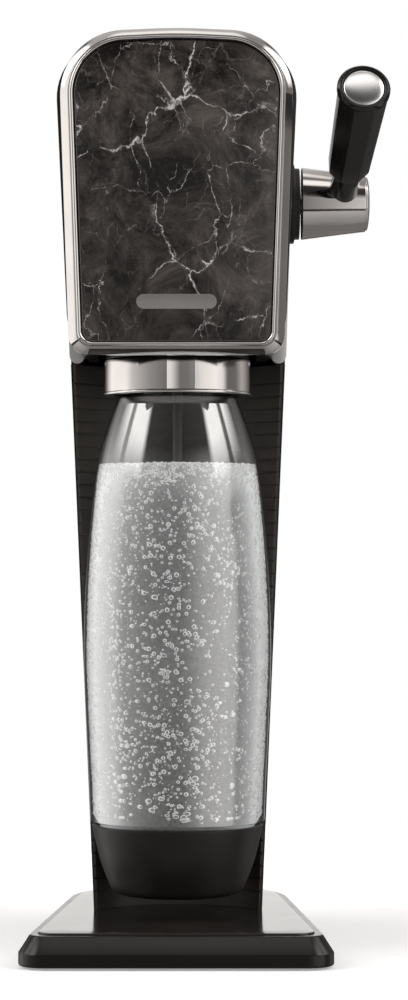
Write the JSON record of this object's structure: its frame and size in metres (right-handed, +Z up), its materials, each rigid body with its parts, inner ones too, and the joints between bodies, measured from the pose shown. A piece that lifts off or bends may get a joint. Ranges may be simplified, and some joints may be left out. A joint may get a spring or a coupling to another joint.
{
  "type": "soda carbonator",
  "caption": "Slim countertop soda carbonator with marble-look front, chrome trim, side lever, tilting bottle holder, clear bottle and a gas cylinder behind a rear cover.",
  "frame": {"origin": "centre of the base underside, level with the soles of the rubber feet", "axes": "+Z up, -Y towards the user (front panel side), +X towards the side lever"},
  "size_m": [0.1669, 0.21, 0.4187],
  "materials": {
    "satin_black": "satin moulded black plastic",
    "gloss_black": "gloss black plastic",
    "drip_gloss": "polished black plate",
    "chrome": "bright chrome",
    "satin_chrome": "lightly brushed chrome",
    "steel": "machined steel",
    "brass": "machined brass",
    "grey_plastic": "glass-filled grey nylon",
    "rubber": "soft black rubber",
    "cylinder_paint": "blue painted aluminium",
    "handle_blue": "blue moulded plastic",
    "marble": "black marble pattern under gloss",
    "badge": "plain satin grey, left blank",
    "clear_plastic": "clear bottle wall",
    "water": "sparkling water"
  },
  "bodies": {
    "root": {"base_shell": "satin_black", "base_cover": "satin_black", "rubber_feet": "rubber", "base_screws": "steel", "drip_plate": "drip_gloss", "tower_shell": "satin_black", "splash_panel": "satin_black", "chassis": "grey_plastic", "head_shell": "gloss_black", "head_underplate": "satin_black", "bezel": "chrome", "side_band": "chrome", "front_panel": "marble", "badge": "badge", "head_casing": "satin_black", "shaft_bushes": "steel", "lever_collar": "rubber", "gas_cylinder": "cylinder_paint", "cylinder_valve": "brass", "cylinder_seat": "rubber", "valve_block": "brass", "relief_valve": "brass", "hose_fitting": "brass", "gas_hose": "rubber", "pivot_banjo": "brass", "guide_pins": "steel", "pivot_pins": "steel", "handle_pins": "steel", "chassis_screws": "steel"},
    "lever": {"lever_shaft": "steel", "lever_hub": "satin_chrome", "hub_cap": "satin_chrome", "lever_neck": "gloss_black", "lever_grip": "gloss_black", "grip_cap": "satin_chrome", "cam": "steel", "retaining_clip": "steel"},
    "pusher": {"pusher_yoke": "steel", "valve_pin": "brass", "pusher_spring": "steel"},
    "holder": {"holder_ring": "satin_chrome", "ring_clip": "satin_chrome", "holder_frame": "satin_black", "nozzle_carrier": "satin_black", "nozzle": "grey_plastic", "nozzle_tube": "grey_plastic", "bottle_seal": "rubber"},
    "bottle_group": {"bottle": "clear_plastic", "bottle_base": "satin_black", "sparkling_water": "water"},
    "cover": {"rear_cover": "satin_black"},
    "button": {"cover_button": "gloss_black"},
    "clamp": {"clamp_handle": "handle_blue"},
    "collar": {"clamp_collar": "grey_plastic"}
  },
  "joints": [
    {"name": "lever_pull", "type": "hinge", "parent": "root", "child": "lever", "pos_m": [0, 0.03, 0.3535], "axis": [1, 0, 0], "range_deg": [0, 50], "stiffness_Nm_per_rad": 0.5, "springref_deg": -22.92},
    {"name": "pusher_press", "type": "slide", "parent": "root", "child": "pusher", "axis": [0, 0, -1], "range_m": [0, 0.0026], "deforming": ["pusher_spring"]},
    {"name": "holder_tilt", "type": "hinge", "parent": "root", "child": "holder", "pos_m": [0, -0.004, 0.285], "axis": [-1, 0, 0], "range_deg": [0, 12]},
    {"name": "bottle_release", "type": "slide", "parent": "holder", "child": "bottle_group", "axis": [0, 0, -1], "range_m": [0, 0.0041]},
    {"name": "cover_off", "type": "slide", "parent": "root", "child": "cover", "axis": [0, 1, 0], "range_m": [0, 0.09]},
    {"name": "cover_press", "type": "slide", "parent": "cover", "child": "button", "axis": [0, -1, 0], "range_m": [0, 0.0025], "stiffness_N_per_m": 400, "springref_m": -0.002},
    {"name": "handle_lift", "type": "hinge", "parent": "root", "child": "clamp", "pos_m": [0, 0.056, 0.352], "axis": [1, 0, 0], "range_deg": [0, 35]},
    {"name": "collar_drop", "type": "slide", "parent": "root", "child": "collar", "axis": [0, 0, -1], "range_m": [0, 0.0041]}
  ],
  "couplings": [
    {"joint": "pusher_press", "follows": "lever_pull", "m_per_rad": 0.0028648},
    {"joint": "bottle_release", "follows": "holder_tilt", "m_per_rad": 0.019099},
    {"joint": "collar_drop", "follows": "handle_lift", "m_per_rad": 0.006548}
  ]
}
